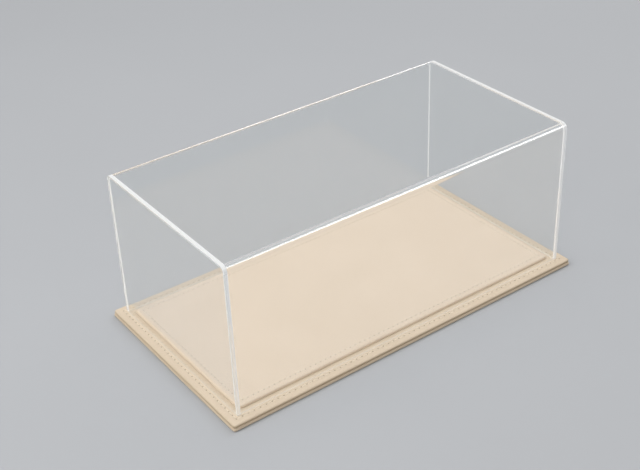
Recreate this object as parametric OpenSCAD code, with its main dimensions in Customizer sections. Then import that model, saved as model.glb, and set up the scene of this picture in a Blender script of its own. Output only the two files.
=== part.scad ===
// Display case for a scale model car: a clear cover that lifts off a stitched, leather-wrapped base.
// Millimetres, +Z up. X runs along the long side, and the origin is the middle of the underside.
// The cover is one sheet bent into a U with an end panel glued on each end.
// The base is two leather-wrapped boards laid back to back, with a third, smaller one as the platform.

/* [Clear cover] */
// Length of the cover over its end panels
cover_len = 325; // [240:1:420]
// Width of the cover over its front and back walls
cover_w = 166; // [120:1:240]
// Height of the cover above the rim that it stands on
cover_h = 128.8; // [80:0.1:180]
// Thickness of the clear sheet
sheet_t = 3; // [2:0.1:5]
// Inside radius of the heat bends along the two long top edges
bend_r = 2.5; // [1:0.1:8]

/* [Base] */
// How far the base's upper layer stands out past the cover on every side
rim_w = 7.9; // [6:0.1:16]
// How far the base's lower layer stands out past the upper one
bottom_step = 0.5; // [0:0.1:1.5]
// Thickness of each of the base's two wrapped layers
layer_t = 2.8; // [2:0.1:3.6]
// Corner radius of the base, seen from above
base_corner_r = 2.2; // [2.1:0.1:10]

/* [Platform] */
// Gap between the inside of the cover and the platform's edge
platform_gap = 3.5; // [1:0.1:8]
// Height of the wrapped platform above the rim
platform_t = 3; // [2:0.1:3.8]
// Corner radius of the platform, seen from above
platform_corner_r = 2.2; // [2.1:0.1:10]

/* [Leather] */
// Thickness of the leather
leather_t = 0.5; // [0.3:0.05:0.7]
// Thickness of the glue film between a board and its leather
glue_t = 0.1; // [0.05:0.05:0.2]
// Width of the leather that is turned in over a board's hidden face
turn_in = 14; // [8:0.5:24]

/* [Stitching] */
// Distance from the cover's outside to the rim's row of stitches
rim_row_gap = 1.8; // [1.2:0.1:3]
// Distance from the platform's edge to its row of stitches
platform_row_inset = 5; // [3.5:0.1:12]
// Spacing of the needle holes along the rim
rim_pitch = 5.2; // [3:0.1:8]
// Spacing of the needle holes along the platform
platform_pitch = 4.7; // [3:0.1:8]
// Thickness of the thread
thread_d = 0.8; // [0.5:0.05:1]
// Depth of the groove that the thread pulls into the leather
groove_depth = 0.2; // [0.1:0.05:0.25]

/* [Hidden] */
$fn = 64;

leather_tan = "#dccbb0";
thread_cream = "#efe6d2";
board_brown = "#9a7b58";
card_grey = "#8d8a83";
clear_tint = [0.85, 0.9, 0.92, 0.35];

// The base and the platform follow the cover
base_size = [cover_len + 2 * rim_w, cover_w + 2 * rim_w];
bottom_size = [base_size.x + 2 * bottom_step, base_size.y + 2 * bottom_step];
inside_margin = sheet_t + platform_gap;
platform_size = [cover_len - 2 * inside_margin, cover_w - 2 * inside_margin];

// Windows inside the rings of leather that are turned in over the hidden faces
base_window = [base_size.x - 2 * turn_in, base_size.y - 2 * turn_in];
platform_window = [platform_size.x - 2 * turn_in, platform_size.y - 2 * turn_in];

// The sheet keeps its thickness through a bend
bend_outer_r = bend_r + sheet_t;

// Heights: the seam between the two layers, the rim's top and the platform's top
seam_z = layer_t;
rim_z = 2 * layer_t;

// A board lies inside its leather and the glue film
skin_t = leather_t + glue_t;

// Each row of stitches is a rectangle of this size
rim_row = [cover_len + 2 * rim_row_gap, cover_w + 2 * rim_row_gap];
platform_row = [platform_size.x - 2 * platform_row_inset, platform_size.y - 2 * platform_row_inset];

// The needle is a little thicker than the thread, and the groove is wider than both
needle_d = 1.25 * thread_d;
groove_w = 1.5 * thread_d;

// An infill card stops this far short of the turned-in leather around it
card_gap = 0.3;

// A cut runs this far past the face that it opens
past = 1;

// Quarter of a disc in the first quadrant
module quarter_disc(r) {
    intersection() {
        circle(r);
        square(2 * r);
    }
}

// Outline of the cover seen from its end: a rectangle standing on the X axis with round top corners
module end_outline(w, h, r) {
    translate([-w / 2, 0])
        square([w, h - r]);
    translate([-w / 2 + r, 0])
        square([w - 2 * r, h]);
    for (side = [0, 1])
        mirror([side, 0])
            translate([w / 2 - r, h - r])
                quarter_disc(r);
}

// Section through a slab's edge: flat from the axis, then rolled over in a half round
module rolled_edge(reach, t) {
    square([reach - t / 2, t]);
    translate([reach - t / 2, t / 2])
        intersection() {
            circle(t / 2);
            translate([0, -t])
                square([t, 2 * t]);
        }
}

// Slab of a plan size, centred, with round corners and its edge rolled over in a half round
module rolled_slab(size, t, corner_r) {
    core = [size.x - 2 * corner_r, size.y - 2 * corner_r];
    translate([-core.x / 2, -core.y / 2, 0])
        cube([core.x, core.y, t]);
    for (side = [0:3]) {
        run = side % 2 == 0 ? core.y : core.x;
        out = side % 2 == 0 ? core.x : core.y;
        rotate(90 * side)
            translate([out / 2, run / 2, 0]) {
                rotate([90, 0, 0])
                    linear_extrude(run)
                        rolled_edge(corner_r, t);
                rotate_extrude(angle = 90)
                    rolled_edge(corner_r, t);
            }
    }
}

// Board inside a wrapped slab
module wrapped_board(size, t, corner_r) {
    translate([0, 0, skin_t])
        rolled_slab([size.x - 2 * skin_t, size.y - 2 * skin_t], t - 2 * skin_t, corner_r - skin_t);
}

// Leather round a slab: over one face, round the edge and turned in over the lower face as far as a window
module leather_wrap(size, t, corner_r, window) {
    difference() {
        rolled_slab(size, t, corner_r);
        translate([0, 0, leather_t])
            rolled_slab([size.x - 2 * leather_t, size.y - 2 * leather_t], t - 2 * leather_t, corner_r - leather_t);
        translate([-window.x / 2, -window.y / 2, -past])
            cube([window.x, window.y, past + t / 2]);
    }
}

// Groove that a row of stitches pulls into the top of the leather, cut from z = 0 down
module stitch_groove(row) {
    translate([0, 0, -groove_depth])
        linear_extrude(groove_depth + past)
            difference() {
                square([row.x + groove_w, row.y + groove_w], center = true);
                square([row.x - groove_w, row.y - groove_w], center = true);
            }
}

// One stitch along +X from a needle hole at the origin, flattened where it beds into the groove
module stitch(pitch) {
    translate([needle_d / 2, 0, 0])
        rotate([90, 0, 90])
            linear_extrude(pitch - needle_d)
                intersection() {
                    circle(d = thread_d);
                    translate([-thread_d, 0])
                        square([2 * thread_d, thread_d]);
                }
}

// Row of stitches round a rectangle, with whole stitches on every side
module stitch_row(row, pitch) {
    for (side = [0:3]) {
        run = side % 2 == 0 ? row.x : row.y;
        out = side % 2 == 0 ? row.y : row.x;
        count = round(run / pitch);
        step = run / count;
        rotate(90 * side)
            translate([-run / 2, -out / 2, 0])
                for (i = [0:count - 1])
                    translate([i * step, 0, 0])
                        stitch(step);
    }
}

// Card that fills the window of turned-in leather
module infill_card(window, t) {
    card = [window.x - 2 * card_gap, window.y - 2 * card_gap];
    translate([-card.x / 2, -card.y / 2, 0])
        cube([card.x, card.y, t]);
}

// Flat end panel, glued over the hood's end on the left (-1) or right (+1)
module end_panel(side) {
    color(clear_tint)
        translate([side * (cover_len - sheet_t) / 2, 0, rim_z])
            rotate([90, 0, 90])
                linear_extrude(sheet_t, center = true)
                    end_outline(cover_w, cover_h, bend_outer_r);
}

module left_end_panel() {
    end_panel(-1);
}

module right_end_panel() {
    end_panel(1);
}

// Front wall, top and back wall in one bent sheet of even thickness
module cover_hood() {
    color(clear_tint)
        translate([0, 0, rim_z])
            rotate([90, 0, 90])
                linear_extrude(cover_len - 2 * sheet_t, center = true)
                    difference() {
                        end_outline(cover_w, cover_h, bend_outer_r);
                        translate([0, -past])
                            end_outline(cover_w - 2 * sheet_t, cover_h - sheet_t + past, bend_r);
                    }
}

// Upper layer of the base: its leather is turned in below, and carries the rim's stitches on top
module plinth_leather() {
    color(leather_tan)
        difference() {
            translate([0, 0, seam_z])
                leather_wrap(base_size, layer_t, base_corner_r, base_window);
            translate([0, 0, rim_z])
                stitch_groove(rim_row);
        }
}

module plinth_board() {
    color(board_brown)
        translate([0, 0, seam_z])
            wrapped_board(base_size, layer_t, base_corner_r);
}

module plinth_stitching() {
    color(thread_cream)
        translate([0, 0, rim_z - groove_depth])
            stitch_row(rim_row, rim_pitch);
}

// Lower layer of the base: wrapped from below, with its leather turned in at the seam
module bottom_leather() {
    color(leather_tan)
        translate([0, 0, seam_z])
            mirror([0, 0, 1])
                leather_wrap(bottom_size, layer_t, base_corner_r, base_window);
}

module bottom_board() {
    color(board_brown)
        wrapped_board(bottom_size, layer_t, base_corner_r);
}

module base_infill_card() {
    color(card_grey)
        translate([0, 0, seam_z - leather_t])
            infill_card(base_window, 2 * leather_t);
}

module platform_leather() {
    color(leather_tan)
        difference() {
            translate([0, 0, rim_z])
                leather_wrap(platform_size, platform_t, platform_corner_r, platform_window);
            translate([0, 0, rim_z + platform_t])
                stitch_groove(platform_row);
        }
}

module platform_board() {
    color(board_brown)
        translate([0, 0, rim_z])
            wrapped_board(platform_size, platform_t, platform_corner_r);
}

module platform_stitching() {
    color(thread_cream)
        translate([0, 0, rim_z + platform_t - groove_depth])
            stitch_row(platform_row, platform_pitch);
}

module platform_infill_card() {
    color(card_grey)
        translate([0, 0, rim_z])
            infill_card(platform_window, leather_t);
}

cover_hood();
left_end_panel();
right_end_panel();
plinth_leather();
plinth_board();
plinth_stitching();
bottom_leather();
bottom_board();
base_infill_card();
platform_leather();
platform_board();
platform_stitching();
platform_infill_card();
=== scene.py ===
"""Looks of a display case for a model car: a clear lift-off cover on a stitched, leather-wrapped base."""

import math
import random

import bpy
from mathutils import Matrix, Vector


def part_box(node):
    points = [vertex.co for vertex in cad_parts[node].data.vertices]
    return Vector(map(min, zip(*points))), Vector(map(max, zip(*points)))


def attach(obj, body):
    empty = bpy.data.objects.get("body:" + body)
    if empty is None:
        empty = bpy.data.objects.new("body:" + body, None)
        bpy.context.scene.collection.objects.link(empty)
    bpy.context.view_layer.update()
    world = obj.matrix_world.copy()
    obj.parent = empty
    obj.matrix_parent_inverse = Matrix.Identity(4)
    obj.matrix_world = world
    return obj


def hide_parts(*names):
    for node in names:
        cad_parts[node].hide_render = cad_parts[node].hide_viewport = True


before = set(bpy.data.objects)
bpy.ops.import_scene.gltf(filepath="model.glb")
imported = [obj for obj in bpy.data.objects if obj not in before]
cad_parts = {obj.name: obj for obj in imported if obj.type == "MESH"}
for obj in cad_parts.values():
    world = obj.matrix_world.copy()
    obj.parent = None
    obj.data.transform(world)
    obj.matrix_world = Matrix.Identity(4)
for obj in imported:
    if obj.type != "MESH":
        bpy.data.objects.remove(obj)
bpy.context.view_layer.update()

MM = 0.001

# Sizes of the wrapped leather and its stitches, as in the part's source
LEATHER_T = 0.5 * MM
TURN_IN = 14 * MM
CORNER_R = 2.2 * MM
RIM_PITCH = 5.2 * MM
PLATFORM_PITCH = 4.7 * MM
THREAD_D = 0.8 * MM

# Finer shape of the leather: its edge, the groove along its stitches and its needle holes
LEAST_CORNER_R = 0.6 * MM
PLATFORM_SHOULDER = 1.6 * MM
PLATFORM_TUCK = 0.5 * MM
GROOVE_DEPTH = 0.08 * MM
GROOVE_HALF_W = 1.3 * MM
HOLE_DEPTH = 0.36 * MM
RIM_HOLE_R = 0.58 * MM
PLATFORM_HOLE_R = 0.48 * MM

# Stops along a stitch from its first needle hole, as shares of its length
STITCH_STOPS = (0, 0.04, 0.08, 0.13, 0.2, 0.33, 0.5, 0.67, 0.8, 0.87, 0.92, 0.96)

# Stops across a row of stitches, and where the flat face inside it begins, in half widths of the groove
ROW_STOPS = (1.5, 1, 0.7, 0.45, 0.28, 0.14, 0, -0.14, -0.28, -0.45, -0.7, -1, -1.5)
FACE_STOP = 3

# Steps round a wrap's corner (as many again before and after it), and round its edge, outside and inside
CORNER_STEPS = 8
SHOULDER_STEPS = 9
TUCK_STEPS = 7
INSIDE_STEPS = 8

# Painted shade: the leather darkens towards its hidden face under its rolled edge, between these heights
# above that face as shares of the wrap's thickness, and by this much on each wrap
PAINTED_SHADE_START = 1.0
PAINTED_SHADE_END = 0.2
PLINTH_PAINTED_SHADE = 1.0
BOTTOM_PAINTED_SHADE = 0.28
PLATFORM_PAINTED_SHADE = 0.0

# The thread: plies twisted round each other, a slight lean, and ends that dive into the needle holes
PLIES = 2
PLY_R = 0.27 * THREAD_D
PLY_OFFSET = 0.2 * THREAD_D
PLY_TURNS = 1.5
PLY_RINGS = 13
PLY_SIDES = 6
STITCH_LEAN = 0.06 * MM
STITCH_START = 0.08
DIVE_DEPTH = 0.8 * THREAD_D
DIVE_POWER = 4
RIM_SEED = 3
PLATFORM_SEED = 5

# Sizes of the clear sheet: the bends' inside radius is as in the part's source
BEND_R = 2.5 * MM
BEND_STEPS = 18
EDGE_BEVEL = 0.25 * MM
JOINT_GAP = 0.03 * MM
FOOT_GAP = 0.05 * MM

# Width of the strip beside a bend or bevel that keeps the shading of the wall next to it flat
FLAT_STRIP = 0.4 * MM

# Angles between faces that stay a crease, in degrees
LEATHER_CREASE = 50
THREAD_CREASE = 60
SHEET_CREASE = 32

# Material slots of the bent hood and of an end panel, in the order of their finishes
HOOD_CLEAR, HOOD_FOOT, HOOD_CEMENT, HOOD_BEND, HOOD_TOP_CEMENT = range(5)
PANEL_CLEAR, PANEL_EDGE, PANEL_BONDED, PANEL_UPRIGHT, PANEL_FOOT = range(5)

# Tones of the leather and of its creases, and the browns of the painted shade under its rolled edges and in
# its needle holes
BASE_PALE = (0.670, 0.555, 0.424, 1)
BASE_DEEP = (0.642, 0.527, 0.397, 1)
# The platform's tones are a lighter copy of the base's: painted light and painted sheen for the extra light
# that falls on the platform
PLATFORM_LIT_PALE = (0.785, 0.646, 0.507, 1)
PLATFORM_LIT_DEEP = (0.758, 0.620, 0.481, 1)
CREASE_BROWN = (0.53, 0.41, 0.28, 1)
PAINTED_SHADE_BROWN = (0.36, 0.25, 0.11, 1)
HOLE_PAINTED_SHADE = (0.22, 0.155, 0.095, 1)

# Grain of the leather: pebbles with soft flanks and a wobble, finer pores, and clouds of tone. A scale is
# a count for each metre
PEBBLE_SCALE = 1150.0
PEBBLE_FLANK = 0.28
WOBBLE_SCALE = 700.0
WOBBLE_SHARE = 0.0006
PORE_SCALE = 6500
CLOUD_SCALE = 24

# The most that creases, the painted shade under rolled edges and the painted shade in needle holes darken
# the leather, and where that begins and ends
CREASE_SHARE = 0.30
CREASE_END = 0.6
PAINTED_SHADE_SHARE = 0.74
HOLE_PAINTED_SHADE_SHARE = 0.9
HOLE_RIM = 0.25
HOLE_CORE = 0.85

# Refraction of the sheet and of its cemented joints, and how much light passes one of its faces
ACRYLIC_IOR = 1.49
JOINT_IOR = 1.01
PASSED_LIGHT = (0.988, 0.99, 0.99, 1)

# Most of a noise's values lie between these
NOISE_LOW = 0.3
NOISE_HIGH = 0.7

# The camera, from the photograph's viewing angle
CAMERA_AZIMUTH = -35.10
CAMERA_ELEVATION = 32.32
CAMERA_ROLL = -2.363
CAMERA_DISTANCE = 941.0 * MM
CAMERA_TARGET = Vector((-24.72, 0, 64.16)) * MM
CAMERA_NEAR = 10 * MM
FOCAL_PIXELS = 1177.1
IMAGE_W = 640
SENSOR_W = 36

# The floor, and the backdrop that it fades into, in metres
FLOOR_HALF = 3.0
FLOOR_BELOW = 0.1 * MM
FLOOR_FADE_START = 0.6
FLOOR_FADE_END = 1.6
BACKDROP = (0.96, 0.978, 1.0, 1)
BACKDROP_LEVEL = 0.5

# How often light may bounce, and what makes up for a lamp's fade to its edges
LIGHT_BOUNCES = 128
FADE_GAIN = 36.0


# Meshes

def add_mesh(name, verts, faces, materials, slots=None, crease=None):
    """A smooth-shaded mesh object. Slots gives each face's material, crease the angle that stays sharp."""
    mesh = bpy.data.meshes.new(name)
    mesh.from_pydata(verts, [], faces)
    for material in materials:
        mesh.materials.append(material)
    if slots:
        mesh.polygons.foreach_set("material_index", slots)
    mesh.polygons.foreach_set("use_smooth", [True] * len(mesh.polygons))
    if crease:
        mesh.set_sharp_from_angle(angle=math.radians(crease))
    mesh.update()
    piece = bpy.data.objects.new(name, mesh)
    bpy.context.scene.collection.objects.link(piece)
    return piece


def place(piece, body, node):
    """The piece moves with a body and stands for a CAD node, which it hides."""
    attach(piece, body)
    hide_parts(node)


def arc(centre, radius, start_deg, end_deg, steps):
    """Points on an arc, both ends included."""
    points = []
    for i in range(steps + 1):
        a = math.radians(start_deg + (end_deg - start_deg) * i / steps)
        points.append((centre[0] + radius * math.cos(a), centre[1] + radius * math.sin(a)))
    return points


def ring_columns(xs, ys):
    """Which columns of a ring stay where it needs few: on its sides the needle holes and the middles of
    stitches, and at its corners every second one."""
    half_stitch = len(STITCH_STOPS) // 2
    corner = [k % 2 == 0 for k in range(1, 3 * CORNER_STEPS)]
    sides = [[k % half_stitch == 0 for k in range(len(stops))] for stops in (ys, xs)]
    keep = (sides[0] + corner + sides[1] + corner) * 2
    return [k for k, kept in enumerate(keep) if kept]


def rounded_ring(half_x, half_y, radius, xs, ys):
    """Points anticlockwise round a rounded rectangle: at the given stops on its sides, and in even steps
    round its corners."""
    first_side = [Vector((half_x, y)) for y in ys]
    bend_start = Vector((half_x, half_y - radius))
    bend_end = Vector((half_x - radius, half_y))
    middle = (half_x - radius, half_y - radius)
    corner = [first_side[-1].lerp(bend_start, k / CORNER_STEPS) for k in range(1, CORNER_STEPS)]
    corner += [Vector(point) for point in arc(middle, radius, 0, 90, CORNER_STEPS)]
    corner += [bend_end.lerp(Vector((xs[-1], half_y)), k / CORNER_STEPS) for k in range(1, CORNER_STEPS)]
    next_side = [Vector((x, half_y)) for x in reversed(xs)]
    next_corner = [Vector((-point.x, point.y)) for point in reversed(corner)]
    half_ring = first_side + corner + next_side + next_corner
    return half_ring + [-point for point in half_ring]


class StitchRow:
    """A rectangle of needle holes with whole stitches on every side."""

    def __init__(self, node, pitch, hole_r):
        low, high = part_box(node)
        self.hole_r = hole_r
        self.half = ((high.x - low.x - THREAD_D) / 2, (high.y - low.y - THREAD_D) / 2)
        self.counts = [round(2 * h / pitch) for h in self.half]
        self.steps = [2 * h / n for h, n in zip(self.half, self.counts)]
        self.floor_z = low.z

    def stops(self, k):
        """Stops along the sides on one axis, close together at the needle holes. The first and last stitch
        belong to the corners."""
        first, step, count = -self.half[k], self.steps[k], self.counts[k]
        inner = [first + (n + f) * step for n in range(1, count - 1) for f in STITCH_STOPS]
        return inner + [first + (count - 1) * step]

    def distances(self, x, y):
        """How far a point is from the row and from its nearest needle hole."""
        across = (abs(x) - self.half[0], abs(y) - self.half[1])
        if across[0] > 0 and across[1] > 0:
            line = math.hypot(*across)
        else:
            line = abs(max(across))
        holes = []
        for along, k, off in ((x, 0, across[1]), (y, 1, across[0])):
            n = min(max(round((along + self.half[k]) / self.steps[k]), 0), self.counts[k])
            holes.append(math.hypot(along + self.half[k] - n * self.steps[k], off))
        return line, min(holes)

    def dip(self, x, y):
        """How far the thread pulls the leather down, and how deep in a needle hole the point is (0 to 1)."""
        line, hole = self.distances(x, y)
        groove = max(0.0, 1 - (line / GROOVE_HALF_W) ** 2) ** 2
        needle = math.exp(-(hole / self.hole_r) ** 2)
        return GROOVE_DEPTH * groove + HOLE_DEPTH * needle, needle

    def stitches(self):
        """Each stitch's two needle holes."""
        a, b = self.half
        for n in range(self.counts[0]):
            for side in (-1, 1):
                x = -a + n * self.steps[0]
                yield Vector((x, side * b, 0)), Vector((x + self.steps[0], side * b, 0))
        for n in range(self.counts[1]):
            for side in (-1, 1):
                y = -b + n * self.steps[1]
                yield Vector((side * a, y, 0)), Vector((side * a, y + self.steps[1], 0))


def wrap_section(t, row_inset, shoulder, tuck):
    """Section of a leather wrap as (inset from the edge, height, near the stitches): over the face, round
    the edge, in under the hidden face and back along the inside. The edge is an oval, shoulder wide above
    its middle and tuck wide below."""
    roll = t / 2
    face_edge = row_inset + FACE_STOP * GROOVE_HALF_W
    near = [row_inset + k * GROOVE_HALF_W for k in ROW_STOPS]
    upper = arc((0, 0), 1, 90, 0, SHOULDER_STEPS)
    lower = arc((0, 0), 1, 0, -90, TUCK_STEPS)[1:]
    inside = arc((0, 0), roll - LEATHER_T, -90, 90, INSIDE_STEPS)
    section = [(face_edge, t, False)]
    section += [(inset, t, True) for inset in near]
    section += [((near[-1] + shoulder) / 2, t, False)]
    section += [(shoulder * (1 - c), roll + roll * s, False) for c, s in upper]
    section += [(tuck * (1 - c), roll + roll * s, False) for c, s in lower]
    section += [(TURN_IN, 0.0, False), (TURN_IN, LEATHER_T, False)]
    section += [(roll - c, roll + s, False) for c, s in inside]
    return section + [(face_edge, t - LEATHER_T, False)]


def band_faces(upper, lower, count):
    """Faces between two rings of up to count columns, given as each column's vertex. A face reaches from one
    column that both rings have to the next."""
    faces = []
    shared = sorted(upper.keys() & lower.keys())
    for a, b in zip(shared, shared[1:] + [shared[0] + count]):
        run = [k % count for k in range(a, b + 1)]
        out = [lower[k] for k in run if k in lower]
        back = [upper[k] for k in reversed(run) if k in upper]
        faces.append(tuple(out + back))
    return faces


def leather_wrap(name, node, row, material, painted_shade_tone, stitched=True, shoulder=None, tuck=None):
    """Leather over a board's face, round its edge and turned in over its hidden face. A stitched wrap has its
    face up and is pulled in along the row, and a plain one has it down. The edge is half round where no
    shoulder and tuck are given."""
    low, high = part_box(node)
    half_x, half_y, t = (high.x - low.x) / 2, (high.y - low.y) / 2, high.z - low.z
    section = wrap_section(t, half_x - row.half[0], shoulder or t / 2, tuck or t / 2)
    xs, ys = row.stops(0), row.stops(1)
    few = ring_columns(xs, ys)
    verts, holes, painted_shades, rings = [], [], [], []
    for inset, z, near_row in section:
        corner_r = max(CORNER_R - inset, LEAST_CORNER_R)
        ring = rounded_ring(half_x - inset, half_y - inset, corner_r, xs, ys)
        pulled = stitched and near_row
        columns = range(len(ring)) if pulled else few
        rings.append({k: len(verts) + i for i, k in enumerate(columns)})
        # Painted shade: the leather darkens towards its hidden face, under the roll of its edge
        painted_shade = (PAINTED_SHADE_START - z / t) / (PAINTED_SHADE_START - PAINTED_SHADE_END)
        for k in columns:
            x, y = ring[k]
            # How deep a point lies in a needle hole shapes the dimple and also masks the painted shade in the
            # hole
            drop, hole = row.dip(x, y) if pulled else (0.0, 0.0)
            verts.append((x, y, low.z + z - drop if stitched else high.z - z))
            holes.append(hole)
            painted_shades.append(painted_shade_tone * min(max(painted_shade, 0.0), 1.0))
    faces = [tuple(rings[0].values())]
    for upper, lower in zip(rings, rings[1:]):
        faces += band_faces(upper, lower, len(ring))
    faces.append(tuple(reversed(rings[-1].values())))
    if not stitched:
        faces = [tuple(reversed(face)) for face in faces]
    piece = add_mesh(name, verts, faces, [material], crease=LEATHER_CREASE)
    # The depth in a needle hole and the painted shade under the rolled edge go to the material, which paints
    # shade with both
    for attribute, values in (("needle_hole", holes), ("painted_shade", painted_shades)):
        piece.data.attributes.new(attribute, "FLOAT", "POINT").data.foreach_set("value", values)
    return piece


def thread_row(name, row, material, seed):
    """Two-ply stitches that dive into the needle holes at both ends."""
    rng = random.Random(seed)
    crest = row.floor_z + GROOVE_DEPTH
    verts, faces = [], []
    for start, end in row.stitches():
        side = (end - start).normalized().cross(Vector((0, 0, 1)))
        lean = rng.uniform(-STITCH_LEAN, STITCH_LEAN)
        twist = rng.uniform(0, math.tau)
        for ply in range(PLIES):
            first = len(verts)
            for i in range(PLY_RINGS):
                f = i / (PLY_RINGS - 1)
                along = STITCH_START + (1 - 2 * STITCH_START) * f
                centre = start.lerp(end, along) + side * lean * (2 * f - 1)
                centre.z = crest - DIVE_DEPTH * abs(2 * f - 1) ** DIVE_POWER
                turn = twist + PLY_TURNS * math.tau * f + math.tau * ply / PLIES
                centre += (side * math.cos(turn) + Vector((0, 0, math.sin(turn)))) * PLY_OFFSET
                for s in range(PLY_SIDES):
                    a = math.tau * s / PLY_SIDES
                    verts.append(centre + (side * math.cos(a) + Vector((0, 0, math.sin(a)))) * PLY_R)
            for i in range(PLY_RINGS - 1):
                ring = first + i * PLY_SIDES
                for s in range(PLY_SIDES):
                    a, b = ring + s, ring + (s + 1) % PLY_SIDES
                    faces.append((a, a + PLY_SIDES, b + PLY_SIDES, b))
            last = first + (PLY_RINGS - 1) * PLY_SIDES
            faces.append(tuple(first + s for s in range(PLY_SIDES)))
            faces.append(tuple(last + s for s in reversed(range(PLY_SIDES))))
    return add_mesh(name, verts, faces, [material], crease=THREAD_CREASE)


def bent_path(half_w, foot, top, radius, bevel):
    """One face of the bent sheet, seen from the end: up the front, over the bends and down the back. The
    bevel at each foot leans inwards, or outwards where it is negative."""
    front = [(-half_w + bevel, foot)]
    front += [(-half_w, foot + abs(bevel)), (-half_w, foot + FLAT_STRIP + abs(bevel))]
    front += [(-half_w, top - radius - FLAT_STRIP)]
    front += arc((-half_w + radius, top - radius), radius, 180, 90, BEND_STEPS)
    front += [(-half_w + radius + FLAT_STRIP, top)]
    return front + [(-y, z) for y, z in reversed(front)]


def bent_hood(name, node, sheet_t, finishes):
    """The bent sheet of the cover, of even thickness through its bends. Its ends are cemented to the end
    panels."""
    low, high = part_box(node)
    foot = low.z + FOOT_GAP
    outer = bent_path(high.y, foot, high.z, BEND_R + sheet_t, EDGE_BEVEL)
    inner = bent_path(high.y - sheet_t, foot, high.z - sheet_t, BEND_R, -EDGE_BEVEL)
    verts = []
    for x in (low.x + JOINT_GAP, high.x - JOINT_GAP):
        verts += [(x, y, z) for y, z in outer + inner]
    count = len(outer)
    left_outer, left_inner, right_outer, right_inner = (k * count for k in range(4))
    faces, slots = [], []
    for a, b in zip(range(count), range(1, count)):
        lip = a == 0 or b == count - 1
        wall = outer[a][0] == outer[b][0]
        top = outer[a][1] == outer[b][1]
        face = HOOD_FOOT if lip else HOOD_CLEAR if wall or top else HOOD_BEND
        end = HOOD_TOP_CEMENT if top else HOOD_CEMENT
        faces.append((left_outer + a, right_outer + a, right_outer + b, left_outer + b))
        faces.append((left_inner + a, left_inner + b, right_inner + b, right_inner + a))
        faces.append((left_outer + a, left_outer + b, left_inner + b, left_inner + a))
        faces.append((right_outer + a, right_inner + a, right_inner + b, right_outer + b))
        slots += [face, face, end, end]
    faces.append((left_outer, left_inner, right_inner, right_outer))
    last = count - 1
    faces.append((left_outer + last, right_outer + last, right_inner + last, left_inner + last))
    slots += [HOOD_FOOT, HOOD_FOOT]
    return add_mesh(name, verts, faces, finishes, slots, SHEET_CREASE)


def panel_outline(half_w, foot, top, radius):
    """The end panel's outline, anticlockwise seen along -X."""
    outline = [(-half_w, foot), (half_w, foot)]
    outline += arc((half_w - radius, top - radius), radius, 0, 90, BEND_STEPS)
    outline += arc((-half_w + radius, top - radius), radius, 90, 180, BEND_STEPS)
    return outline


def end_panel(name, node, side, finishes):
    """A flat end panel on the left (-1) or right (+1). A small bevel breaks its outer edge, and the hood is
    cemented to the band along the edge of its inner face."""
    low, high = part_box(node)
    outside, inside = (high.x, low.x) if side > 0 else (low.x, high.x)
    sheet_t = high.x - low.x
    corner_r = BEND_R + sheet_t
    foot = low.z + FOOT_GAP
    rings = [
        (outside, EDGE_BEVEL, foot + EDGE_BEVEL),
        (outside - side * EDGE_BEVEL, 0, foot),
        (inside, 0, foot),
        (inside, sheet_t, foot),
    ]
    verts = []
    for x, inset, bottom in rings:
        outline = panel_outline(high.y - inset, bottom, high.z - inset, corner_r - inset)
        verts += [(x, y, z) for y, z in outline]
    count = len(outline)
    first, second, third, fourth = (k * count for k in range(4))
    faces = [tuple(range(first, second)), tuple(reversed(range(fourth, fourth + count)))]
    slots = [PANEL_CLEAR, PANEL_CLEAR]
    bands = ((first, second, PANEL_EDGE), (second, third, PANEL_EDGE), (third, fourth, PANEL_BONDED))
    for a, b, finish in bands:
        for i in range(1, count):
            j = (i + 1) % count
            upright = finish == PANEL_EDGE and i in (1, count - 1)
            faces.append((a + i, b + i, b + j, a + j))
            slots.append(PANEL_UPRIGHT if upright else finish)
    faces.append((first, second, second + 1, first + 1))
    faces.append((second, third, fourth, fourth + 1, third + 1, second + 1))
    slots += [PANEL_FOOT, PANEL_FOOT]
    if side < 0:
        faces = [tuple(reversed(face)) for face in faces]
    return add_mesh(name, verts, faces, finishes, slots, SHEET_CREASE)


# Materials

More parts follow.
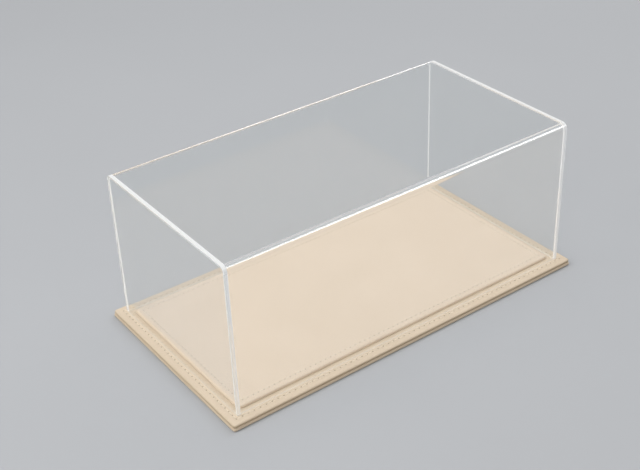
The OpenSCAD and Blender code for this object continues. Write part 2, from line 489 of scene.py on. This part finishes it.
class Nodes:
    """A node tree with short calls to add and join nodes."""

    def __init__(self, tree):
        self.tree = tree

    def add(self, kind, inputs=None, **settings):
        node = self.tree.nodes.new(kind)
        for key, value in settings.items():
            setattr(node, key, value)
        for key, value in (inputs or {}).items():
            if isinstance(value, bpy.types.NodeSocket):
                self.tree.links.new(value, node.inputs[key])
            else:
                node.inputs[key].default_value = value
        return node

    def coordinates(self):
        """Object coordinates: metres in the case's own frame."""
        return self.add("ShaderNodeTexCoord").outputs["Object"]

    def noise(self, scale, detail=2.0, roughness=0.5):
        inputs = {"Vector": self.coordinates(), "Scale": scale, "Detail": detail, "Roughness": roughness}
        return self.add("ShaderNodeTexNoise", inputs).outputs["Fac"]

    def math(self, operation, a, b):
        return self.add("ShaderNodeMath", {0: a, 1: b}, operation=operation).outputs[0]

    def remap(self, value, low, high, to_low, to_high):
        inputs = {"Value": value, 1: low, 2: high, 3: to_low, 4: to_high}
        return self.add("ShaderNodeMapRange", inputs).outputs[0]

    def spread(self, noise, to_low, to_high):
        """A noise, spread over a range of values."""
        return self.remap(noise, NOISE_LOW, NOISE_HIGH, to_low, to_high)

    def ease(self, value, low, high):
        """From 0 to 1 between two values, with a soft start and end."""
        settings = {"interpolation_type": "SMOOTHSTEP"}
        return self.add("ShaderNodeMapRange", {"Value": value, 1: low, 2: high}, **settings).outputs[0]

    def mix(self, factor, a, b):
        """A blend of two colours."""
        inputs = {"Factor": factor, 6: a, 7: b}
        return self.add("ShaderNodeMix", inputs, data_type="RGBA").outputs[2]

    def bump(self, height, strength, distance, normal=None):
        inputs = {"Height": height, "Strength": strength, "Distance": distance}
        if normal:
            inputs["Normal"] = normal
        return self.add("ShaderNodeBump", inputs).outputs["Normal"]

    def mix_shader(self, factor, a, b):
        return self.add("ShaderNodeMixShader", {0: factor, 1: a, 2: b}).outputs[0]

    def surface(self, inputs):
        return self.add("ShaderNodeBsdfPrincipled", inputs).outputs[0]


class Finish(Nodes):
    """A new material's node tree."""

    def __init__(self, name):
        self.material = bpy.data.materials.new(name)
        self.material.use_nodes = True
        super().__init__(self.material.node_tree)
        self.tree.nodes.clear()
        self.output = self.add("ShaderNodeOutputMaterial")

    def lit_through(self, glass):
        """Glass that lamps and soft light pass straight through, with the small loss of a real sheet."""
        clear = self.add("ShaderNodeBsdfTransparent", {"Color": PASSED_LIGHT}).outputs[0]
        path = self.add("ShaderNodeLightPath").outputs
        soft = self.mix_shader(path["Is Diffuse Ray"], glass, clear)
        return self.mix_shader(path["Is Shadow Ray"], soft, clear)

    def finish(self, shader):
        self.tree.links.new(shader, self.output.inputs["Surface"])
        return self.material


def clear_acrylic(name, haze, soft_gloss):
    """Polished sheet: clear, with a faintly uneven tint. Heat softens the gloss of a bend, and lamps shine
    through."""
    n = Finish(name)
    tint = n.mix(n.noise(30), (0.968, 0.980, 0.980, 1), (0.982, 0.990, 0.990, 1))
    glass = n.surface({
        "Base Color": tint, "Transmission Weight": 1.0, "IOR": ACRYLIC_IOR, "Roughness": haze,
        "Coat Weight": soft_gloss, "Coat Roughness": 0.25})
    return n.finish(n.lit_through(glass))


def cut_edge_acrylic(name, clear, glow):
    """Sawn and buffed edge of the sheet: part clear, part milky, so that it glows with the light inside the
    sheet."""
    n = Finish(name)
    grain = n.noise(2600, detail=3.0)
    tone = n.mix(n.noise(60), (0.95, 0.965, 0.97, 1), (0.975, 0.985, 0.985, 1))
    edge = n.surface({
        "Base Color": tone, "Transmission Weight": clear, "IOR": ACRYLIC_IOR,
        "Roughness": n.spread(grain, 0.12, 0.22),
        "Normal": n.bump(grain, strength=0.1, distance=0.02 * MM)})
    lit_behind = n.add("ShaderNodeBsdfTranslucent", {"Color": tone}).outputs[0]
    return n.finish(n.mix_shader(glow, edge, lit_behind))


def bonded_acrylic(name, clear):
    """Where the sheet is cemented to another or stands on the leather: the clear share of the light goes
    on as if there were no face, and the rest meets a milky one."""
    n = Finish(name)
    joint = n.surface({
        "Base Color": (0.985, 0.99, 0.99, 1), "Transmission Weight": clear, "IOR": JOINT_IOR,
        "Roughness": n.spread(n.noise(400, detail=3.0), 0.02, 0.06)})
    return n.finish(n.lit_through(joint))


def cream_leather(name, pale, deep):
    """Fine-grained leather: small pebbles in soft creases, a tone that drifts from pale to deep, painted
    shade under its rolled edges and painted shade in its needle holes."""
    n = Finish(name)
    wobble_inputs = {"Vector": n.coordinates(), "Scale": WOBBLE_SCALE, "Detail": 2.0}
    wobble = n.add("ShaderNodeTexNoise", wobble_inputs).outputs["Color"]
    bent_inputs = {"Factor": WOBBLE_SHARE, 4: n.coordinates(), 5: wobble}
    bent = n.add("ShaderNodeMix", bent_inputs, data_type="VECTOR").outputs[1]
    cell_inputs = {"Vector": bent, "Scale": PEBBLE_SCALE}
    cells = n.add("ShaderNodeTexVoronoi", cell_inputs, feature="DISTANCE_TO_EDGE")
    pebble = n.remap(cells.outputs["Distance"], 0.0, PEBBLE_FLANK, 0.0, 1.0)
    pores = n.noise(PORE_SCALE, detail=3.0, roughness=0.6)
    cloud = n.spread(n.noise(CLOUD_SCALE, detail=3.0, roughness=0.55), 0.0, 1.0)
    tone = n.mix(cloud, deep, pale)
    creased = n.mix(n.remap(pebble, 0.0, CREASE_END, CREASE_SHARE, 0.0), tone, CREASE_BROWN)
    # Painted shade under the rolled edges
    painted_shade = n.add("ShaderNodeAttribute", attribute_name="painted_shade").outputs["Fac"]
    with_painted_shade = n.mix(n.remap(painted_shade, 0.0, 1.0, 0.0, PAINTED_SHADE_SHARE), creased, PAINTED_SHADE_BROWN)
    # Painted shade in the needle holes, deepest at their cores
    hole = n.add("ShaderNodeAttribute", attribute_name="needle_hole").outputs["Fac"]
    with_hole_shade = n.mix(n.remap(hole, HOLE_RIM, HOLE_CORE, 0.0, HOLE_PAINTED_SHADE_SHARE), with_painted_shade, HOLE_PAINTED_SHADE)
    pebbled = n.bump(pebble, strength=0.30, distance=0.06 * MM)
    grain = n.bump(pores, strength=0.12, distance=0.04 * MM, normal=pebbled)
    return n.finish(n.surface({
        "Base Color": with_hole_shade, "Roughness": n.remap(cloud, 0.0, 1.0, 0.46, 0.58),
        "Specular IOR Level": 0.26, "Normal": grain}))


def cream_thread():
    """Twisted sewing thread, a little paler than the leather, with fine fibres."""
    n = Finish("cream_thread")
    fibre = n.noise(5200, detail=4.0, roughness=0.7)
    tone = n.mix(fibre, (0.66, 0.56, 0.43, 1), (0.83, 0.73, 0.60, 1))
    return n.finish(n.surface({
        "Base Color": tone, "Roughness": n.spread(fibre, 0.6, 0.8), "Sheen Weight": 0.25,
        "Normal": n.bump(fibre, strength=0.3, distance=0.03 * MM)}))


def fibreboard():
    """Raw hardboard: brown, felted from short fibres."""
    n = Finish("fibreboard")
    felt = n.noise(900, detail=6.0, roughness=0.7)
    tone = n.mix(felt, (0.27, 0.17, 0.09, 1), (0.47, 0.33, 0.20, 1))
    return n.finish(n.surface({
        "Base Color": tone, "Roughness": n.spread(felt, 0.72, 0.88),
        "Normal": n.bump(felt, strength=0.3, distance=0.1 * MM)}))


def grey_card():
    """Grey board with flecks."""
    n = Finish("grey_card")
    fleck = n.noise(1800, detail=5.0, roughness=0.75)
    tone = n.mix(fleck, (0.26, 0.25, 0.22, 1), (0.45, 0.44, 0.41, 1))
    return n.finish(n.surface({
        "Base Color": tone, "Roughness": n.spread(fleck, 0.8, 0.92),
        "Normal": n.bump(fleck, strength=0.2, distance=0.06 * MM)}))


def pale_floor():
    """Matt floor that fades into the backdrop far from the object, wherever it is seen."""
    n = Finish("pale_floor")
    tone = n.mix(n.noise(3), (0.425, 0.432, 0.445, 1), (0.450, 0.457, 0.470, 1))
    matt = n.surface({"Base Color": tone, "Roughness": 0.85, "Specular IOR Level": 0.1})
    backdrop = n.add("ShaderNodeEmission", {"Color": BACKDROP, "Strength": BACKDROP_LEVEL}).outputs[0]
    reach = n.add("ShaderNodeVectorMath", {0: n.coordinates()}, operation="LENGTH").outputs["Value"]
    path = n.add("ShaderNodeLightPath").outputs
    in_sheet = n.math("MAXIMUM", path["Is Glossy Ray"], path["Is Transmission Ray"])
    seen = n.math("MAXIMUM", path["Is Camera Ray"], in_sheet)
    far = n.math("MULTIPLY", n.ease(reach, FLOOR_FADE_START, FLOOR_FADE_END), seen)
    return n.finish(n.mix_shader(far, matt, backdrop))


# The object

def build_base():
    """The leather wraps and their stitches."""
    base_leather = cream_leather("base_leather", BASE_PALE, BASE_DEEP)
    # The platform's leather is a lighter copy of the base's, with painted light and painted sheen
    lit_platform_leather = cream_leather("platform_leather", PLATFORM_LIT_PALE, PLATFORM_LIT_DEEP)
    thread = cream_thread()
    rim_row = StitchRow("plinth_stitching", RIM_PITCH, RIM_HOLE_R)
    platform_row = StitchRow("platform_stitching", PLATFORM_PITCH, PLATFORM_HOLE_R)
    plinth = leather_wrap("plinth_wrap", "plinth_leather", rim_row, base_leather, PLINTH_PAINTED_SHADE)
    bottom = leather_wrap("bottom_wrap", "bottom_leather", rim_row, base_leather, BOTTOM_PAINTED_SHADE, stitched=False)
    platform = leather_wrap("platform_wrap", "platform_leather", platform_row, lit_platform_leather, PLATFORM_PAINTED_SHADE,
                            shoulder=PLATFORM_SHOULDER, tuck=PLATFORM_TUCK)
    rim_stitches = thread_row("rim_stitches", rim_row, thread, RIM_SEED)
    platform_stitches = thread_row("platform_stitches", platform_row, thread, PLATFORM_SEED)
    place(plinth, "base", "plinth_leather")
    place(bottom, "base", "bottom_leather")
    place(platform, "base", "platform_leather")
    place(rim_stitches, "base", "plinth_stitching")
    place(platform_stitches, "base", "platform_stitching")


def build_cover():
    """The bent hood and its two end panels, whose left uprights are clearer than the right ones."""
    clear = clear_acrylic("clear_acrylic", haze=0.0, soft_gloss=0.0)
    bend = clear_acrylic("bent_acrylic", haze=0.1, soft_gloss=1.0)
    edge = cut_edge_acrylic("cut_edge_acrylic", clear=0.05, glow=0.35)
    left_upright = cut_edge_acrylic("left_upright_acrylic", clear=0.8, glow=0.2)
    right_upright = cut_edge_acrylic("right_upright_acrylic", clear=0.2, glow=0.35)
    bonded = bonded_acrylic("bonded_acrylic", clear=1.0)
    cement = bonded_acrylic("cement", clear=0.35)
    top_cement = bonded_acrylic("top_cement", clear=0.6)
    foot = bonded_acrylic("foot_acrylic", clear=0.84)
    panel_low, panel_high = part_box("left_end_panel")
    sheet_t = panel_high.x - panel_low.x
    hood = bent_hood("bent_hood", "cover_hood", sheet_t, [clear, foot, cement, bend, top_cement])
    place(hood, "cover", "cover_hood")
    for name, side, upright in (("left", -1, left_upright), ("right", 1, right_upright)):
        node = f"{name}_end_panel"
        panel = end_panel(f"{name}_panel", node, side, [clear, edge, bonded, upright, foot])
        place(panel, "cover", node)


def finish_inner_boards():
    """Materials for the CAD nodes that stay."""
    board, card = fibreboard(), grey_card()
    finishes = {
        "plinth_board": board, "bottom_board": board, "platform_board": board,
        "base_infill_card": card, "platform_infill_card": card,
    }
    for node, material in finishes.items():
        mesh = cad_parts[node].data
        mesh.materials.clear()
        mesh.materials.append(material)


# The stage

def set_camera():
    """A camera at the photograph's viewing angle."""
    az, el, roll = (math.radians(a) for a in (CAMERA_AZIMUTH, CAMERA_ELEVATION, CAMERA_ROLL))
    back = Vector((math.sin(az) * math.cos(el), -math.cos(az) * math.cos(el), math.sin(el)))
    level = Vector((0, 0, 1)).cross(back).normalized()
    upright = back.cross(level)
    right = level * math.cos(roll) + upright * math.sin(roll)
    up = upright * math.cos(roll) - level * math.sin(roll)
    data = bpy.data.cameras.new("camera")
    data.sensor_width = SENSOR_W
    data.lens = FOCAL_PIXELS * SENSOR_W / IMAGE_W
    data.clip_start = CAMERA_NEAR
    camera = bpy.data.objects.new("camera", data)
    turn = Matrix((right, up, back)).transposed().to_4x4()
    camera.matrix_world = Matrix.Translation(CAMERA_TARGET + back * CAMERA_DISTANCE) @ turn
    bpy.context.scene.collection.objects.link(camera)
    bpy.context.scene.camera = camera


def add_softbox(name, position, target, size, watts, lights=True, mirrored=True):
    """A rectangular lamp that faces a target and fades to its edges, its first size along the case. It can
    leave matt surfaces unlit, or stay out of reflections."""
    data = bpy.data.lights.new(name, "AREA")
    data.shape = "RECTANGLE"
    data.size, data.size_y = size
    data.energy = watts
    data.use_nodes = True
    n = Nodes(data.node_tree)
    place_on_lamp = n.add("ShaderNodeNewGeometry").outputs["Parametric"]
    across = n.add("ShaderNodeSeparateXYZ", {0: place_on_lamp}).outputs[:2]
    fade = [n.math("MULTIPLY", u, n.math("SUBTRACT", 1.0, u)) for u in across]
    level = n.math("MULTIPLY", n.math("MULTIPLY", *fade), FADE_GAIN)
    n.tree.links.new(level, n.tree.nodes["Emission"].inputs["Strength"])
    lamp = bpy.data.objects.new(name, data)
    lamp.visible_camera = False
    lamp.visible_transmission = False
    lamp.visible_diffuse = lights
    lamp.visible_glossy = mirrored
    back = (Vector(position) - Vector(target)).normalized()
    along = (Vector((1, 0, 0)) - back * back.x).normalized()
    turn = Matrix((along, back.cross(along), back)).transposed().to_4x4()
    lamp.matrix_world = Matrix.Translation(position) @ turn
    bpy.context.scene.collection.objects.link(lamp)


def set_stage():
    """The floor, the backdrop and the lamps, with positions and sizes in metres."""
    corners = [(x, y, -FLOOR_BELOW) for y in (-FLOOR_HALF, FLOOR_HALF) for x in (-FLOOR_HALF, FLOOR_HALF)]
    floor = add_mesh("floor", corners, [(0, 1, 3, 2)], [pale_floor()])
    scene = bpy.context.scene
    scene.world = bpy.data.worlds.new("studio")
    scene.world.use_nodes = True
    background = scene.world.node_tree.nodes["Background"].inputs
    background["Color"].default_value = BACKDROP
    background["Strength"].default_value = BACKDROP_LEVEL
    scene.view_settings.view_transform = "Standard"
    scene.cycles.max_bounces = LIGHT_BOUNCES
    scene.cycles.glossy_bounces = LIGHT_BOUNCES
    scene.cycles.transmission_bounces = LIGHT_BOUNCES
    add_softbox("key_softbox", (-1.6, 0.6, 1.7), (0, 0, 0), (1.6, 1.3), 19.2)
    add_softbox("front_softbox", (-1.2, -1.3, 1.5), (0, 0, 0), (1.4, 1.0), 10.1)
    add_softbox("top_softbox", (0.3, 0.1, 1.4), (0, 0, 0), (2.0, 1.4), 5.6)
    add_softbox("strip_softbox", (0.9, -1.03, 1.03), (0, -0.08, 0.13), (1.4, 0.6), 15, lights=False)
    add_softbox("right_softbox", (1.9, 0.3, 1.3), (0, 0, 0), (0.7, 0.7), 7.8)
    add_softbox("low_back_softbox", (1.2, 2.0, 0.45), (0, 0, 0.1), (1.2, 0.5), 4.8)
    add_softbox("low_left_softbox", (-2.0, -0.3, 0.55), (0, 0, 0), (1.2, 0.6), 3.5, mirrored=False)


set_camera()
build_base()
build_cover()
finish_inner_boards()
set_stage()
